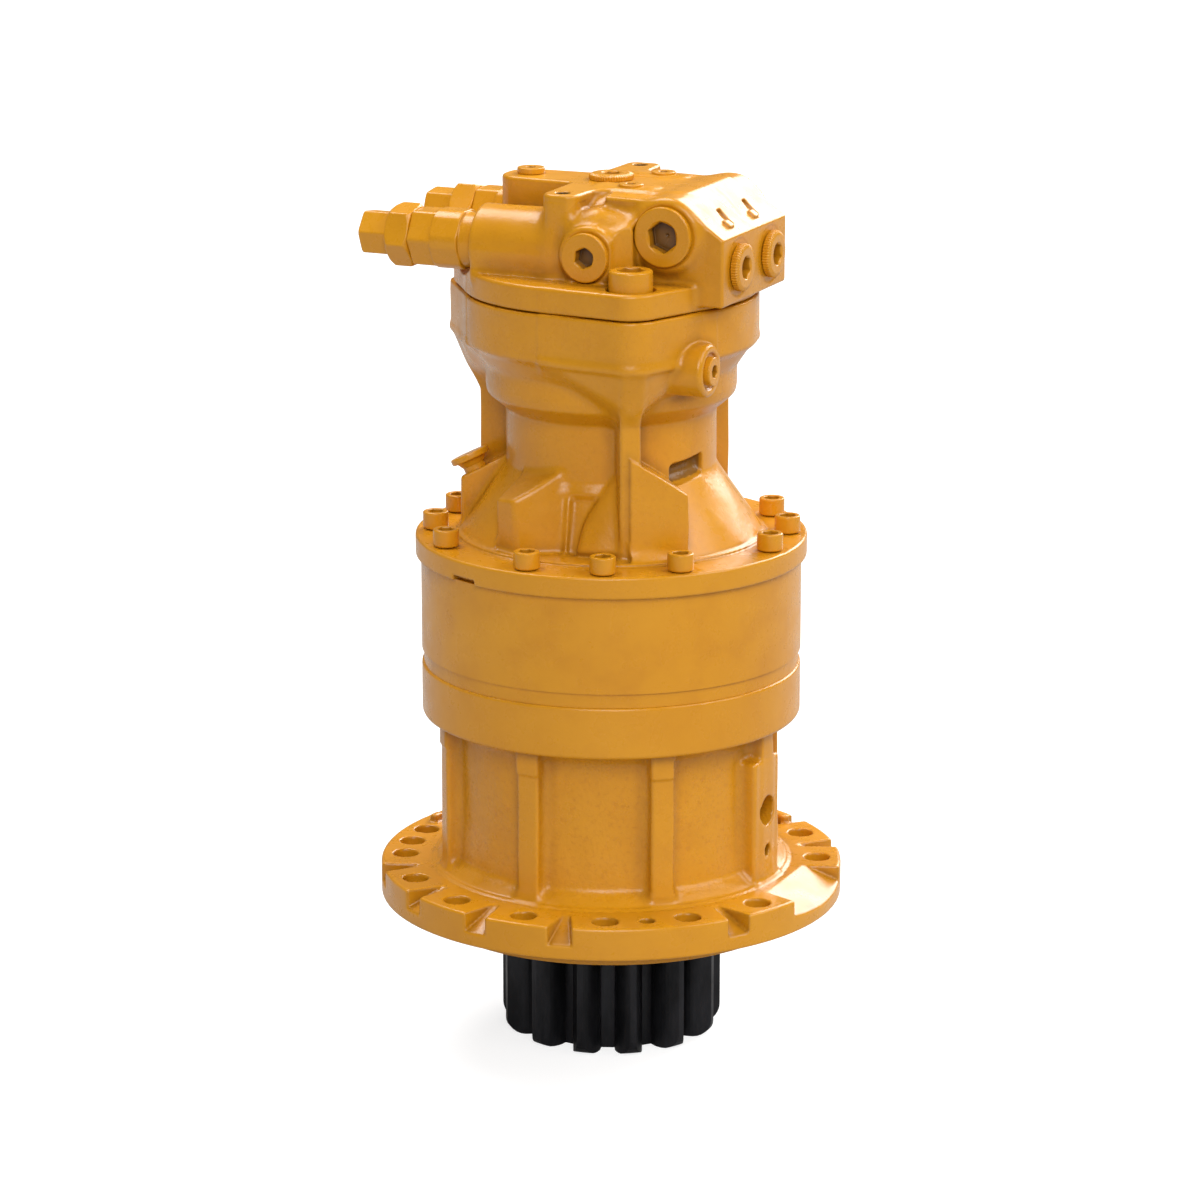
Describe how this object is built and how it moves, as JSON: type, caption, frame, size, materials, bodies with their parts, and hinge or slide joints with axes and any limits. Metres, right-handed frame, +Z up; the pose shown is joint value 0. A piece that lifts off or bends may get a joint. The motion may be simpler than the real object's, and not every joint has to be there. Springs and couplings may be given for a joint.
{
  "type": "excavator swing drive",
  "caption": "Slewing gearbox with hydraulic piston motor: ribbed flange housing, ring gear drum, waisted motor casing, valve cover with relief valves, and pinion.",
  "frame": {"origin": "centre of the mounting flange's underside, on the output axis", "axes": "+Z up the output axis towards the motor, +X towards the port block, +Y to the back as seen in the picture"},
  "size_m": [0.328, 0.328, 0.6176],
  "materials": {
    "paint": "satin orange-yellow primer",
    "black_iron": "black oxide, oiled",
    "steel": "ground",
    "dark_steel": "heat treated",
    "bronze": "machined bronze",
    "rubber": "matt"
  },
  "bodies": {
    "housing": {"gearbox_housing": "paint", "ring_gear": "paint", "motor_casing": "paint", "valve_cover": "paint", "flange_screws": "paint", "cover_screws": "paint", "seal_cover": "black_iron", "seal_cover_screws": "dark_steel", "pinion_oil_seal": "rubber", "output_bearing_outers": "steel", "joint_o_rings": "rubber", "swash_plate": "steel", "shaft_bearing_outers": "steel", "shaft_seal": "rubber", "separator_plates": "steel", "brake_springs": "dark_steel", "valve_plate": "bronze", "relief_valve_bodies": "paint", "relief_lock_nuts": "paint", "relief_caps": "paint", "port_plugs": "paint", "large_side_plugs": "paint", "small_side_plugs": "paint", "centre_plug": "paint", "small_top_plugs": "paint", "brake_port_plug": "paint", "filler_cap": "paint", "check_spring_front": "dark_steel", "check_spring_rear": "dark_steel"},
    "output": {"pinion_shaft": "black_iron", "output_bearing_inners": "steel", "bearing_nut": "dark_steel", "carrier_2": "dark_steel", "planet_pins_2": "steel", "pin_bushes_2": "bronze", "thrust_washers_2": "bronze"},
    "output_rollers": {"output_bearing_rollers": "steel"},
    "planet_2a": {"planet_2a": "steel"},
    "planet_2b": {"planet_2b": "steel"},
    "planet_2c": {"planet_2c": "steel"},
    "first_carrier": {"carrier_1": "dark_steel", "sun_2": "steel", "planet_pins_1": "steel", "thrust_washers_1": "bronze"},
    "planet_1a": {"planet_1a": "steel"},
    "planet_1b": {"planet_1b": "steel"},
    "planet_1c": {"planet_1c": "steel"},
    "motor": {"drive_shaft": "steel", "sun_1": "steel", "cylinder_block": "steel", "pistons": "steel", "friction_discs": "bronze", "shaft_bearing_inners": "steel", "retainer_ball": "steel"},
    "shaft_balls": {"shaft_bearing_balls": "steel"},
    "retainer": {"retainer_plate": "steel", "slippers": "bronze"},
    "brake_piston": {"brake_piston": "dark_steel"},
    "check_front": {"check_poppet_front": "steel"},
    "check_rear": {"check_poppet_rear": "steel"}
  },
  "joints": [
    {"name": "output_spin", "type": "hinge", "parent": "housing", "child": "output", "pos_m": [0, 0, 0], "axis": [0, 0, 1], "continuous": true},
    {"name": "output_rollers_spin", "type": "hinge", "parent": "housing", "child": "output_rollers", "pos_m": [0, 0, 0.02], "axis": [0, 0, 1], "continuous": true},
    {"name": "planet_2a_spin", "type": "hinge", "parent": "output", "child": "planet_2a", "pos_m": [0, 0.072, 0.195], "axis": [0, 0, 1], "continuous": true},
    {"name": "planet_2b_spin", "type": "hinge", "parent": "output", "child": "planet_2b", "pos_m": [-0.06235, -0.036, 0.195], "axis": [0, 0, 1], "continuous": true},
    {"name": "planet_2c_spin", "type": "hinge", "parent": "output", "child": "planet_2c", "pos_m": [0.06235, -0.036, 0.195], "axis": [0, 0, 1], "continuous": true},
    {"name": "first_carrier_spin", "type": "hinge", "parent": "housing", "child": "first_carrier", "pos_m": [0, 0, 0.22], "axis": [0, 0, 1], "continuous": true},
    {"name": "planet_1a_spin", "type": "hinge", "parent": "first_carrier", "child": "planet_1a", "pos_m": [0.05846, 0.03375, 0.236], "axis": [0, 0, 1], "continuous": true},
    {"name": "planet_1b_spin", "type": "hinge", "parent": "first_carrier", "child": "planet_1b", "pos_m": [-0.05846, 0.03375, 0.236], "axis": [0, 0, 1], "continuous": true},
    {"name": "planet_1c_spin", "type": "hinge", "parent": "first_carrier", "child": "planet_1c", "pos_m": [0, -0.0675, 0.236], "axis": [0, 0, 1], "continuous": true},
    {"name": "motor_spin", "type": "hinge", "parent": "housing", "child": "motor", "pos_m": [0, 0, 0.35], "axis": [0, 0, 1], "continuous": true, "deforming": ["pistons"]},
    {"name": "shaft_balls_spin", "type": "hinge", "parent": "housing", "child": "shaft_balls", "pos_m": [0, 0, 0.35], "axis": [0, 0, 1], "continuous": true},
    {"name": "retainer_spin", "type": "hinge", "parent": "housing", "child": "retainer", "pos_m": [0, 0, 0.3188], "axis": [-0.2419, 0, 0.9703], "continuous": true},
    {"name": "brake_piston_slide", "type": "slide", "parent": "housing", "child": "brake_piston", "axis": [0, 0, 1], "range_m": [0, 0.002], "stiffness_N_per_m": 20000, "springref_m": -0.01, "deforming": ["brake_springs"]},
    {"name": "check_front_slide", "type": "slide", "parent": "housing", "child": "check_front", "axis": [0, -1, 0], "range_m": [0, 0.004], "stiffness_N_per_m": 400, "springref_m": -0.006, "deforming": ["check_spring_front"]},
    {"name": "check_rear_slide", "type": "slide", "parent": "housing", "child": "check_rear", "axis": [0, 1, 0], "range_m": [0, 0.004], "stiffness_N_per_m": 400, "springref_m": -0.006, "deforming": ["check_spring_rear"]}
  ],
  "couplings": [
    {"joint": "output_rollers_spin", "follows": "output_spin", "ratio": 0.4395},
    {"joint": "planet_2a_spin", "follows": "output_spin", "ratio": -3},
    {"joint": "planet_2b_spin", "follows": "output_spin", "ratio": -3},
    {"joint": "planet_2c_spin", "follows": "output_spin", "ratio": -3},
    {"joint": "first_carrier_spin", "follows": "output_spin", "ratio": 4},
    {"joint": "planet_1a_spin", "follows": "output_spin", "ratio": -10.667},
    {"joint": "planet_1b_spin", "follows": "output_spin", "ratio": -10.667},
    {"joint": "planet_1c_spin", "follows": "output_spin", "ratio": -10.667},
    {"joint": "motor_spin", "follows": "output_spin", "ratio": 20},
    {"joint": "shaft_balls_spin", "follows": "output_spin", "ratio": 7.853},
    {"joint": "retainer_spin", "follows": "output_spin", "ratio": 20}
  ]
}
